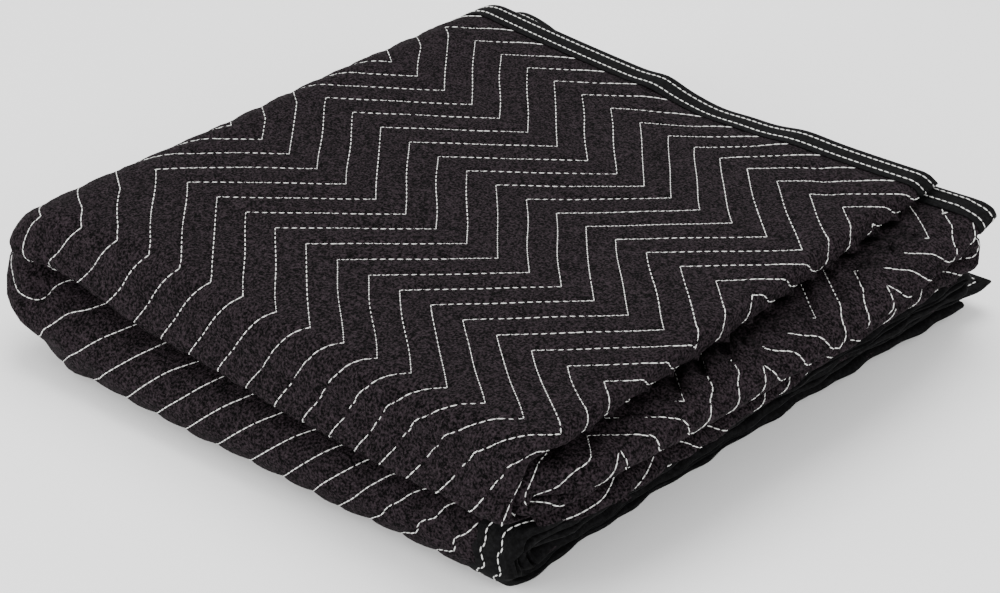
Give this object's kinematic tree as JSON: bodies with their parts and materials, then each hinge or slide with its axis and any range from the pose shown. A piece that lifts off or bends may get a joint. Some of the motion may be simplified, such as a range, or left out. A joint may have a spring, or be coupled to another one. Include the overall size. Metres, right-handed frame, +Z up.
{
  "type": "quilted moving pad, folded",
  "caption": "Black quilted moving blanket with white zigzag stitching and a bound edge, folded into a square stack.",
  "frame": {"origin": "middle of the footprint, on the surface the pad rests on", "axes": "+Z up; +X towards the open side with the layer ends, +Y towards the side with the bound edges"},
  "size_m": [0.497, 0.5066, 0.1196],
  "materials": {
    "quilted_cloth": "matt black mottled pad cloth, lockstitched in white zigzag rows",
    "edge_binding": "matt black woven tape folded over the edge, two rows of white stitches"
  },
  "bodies": {
    "root": {"quilted_pad": "quilted_cloth", "binding_tape": "edge_binding"}
  },
  "joints": []
}
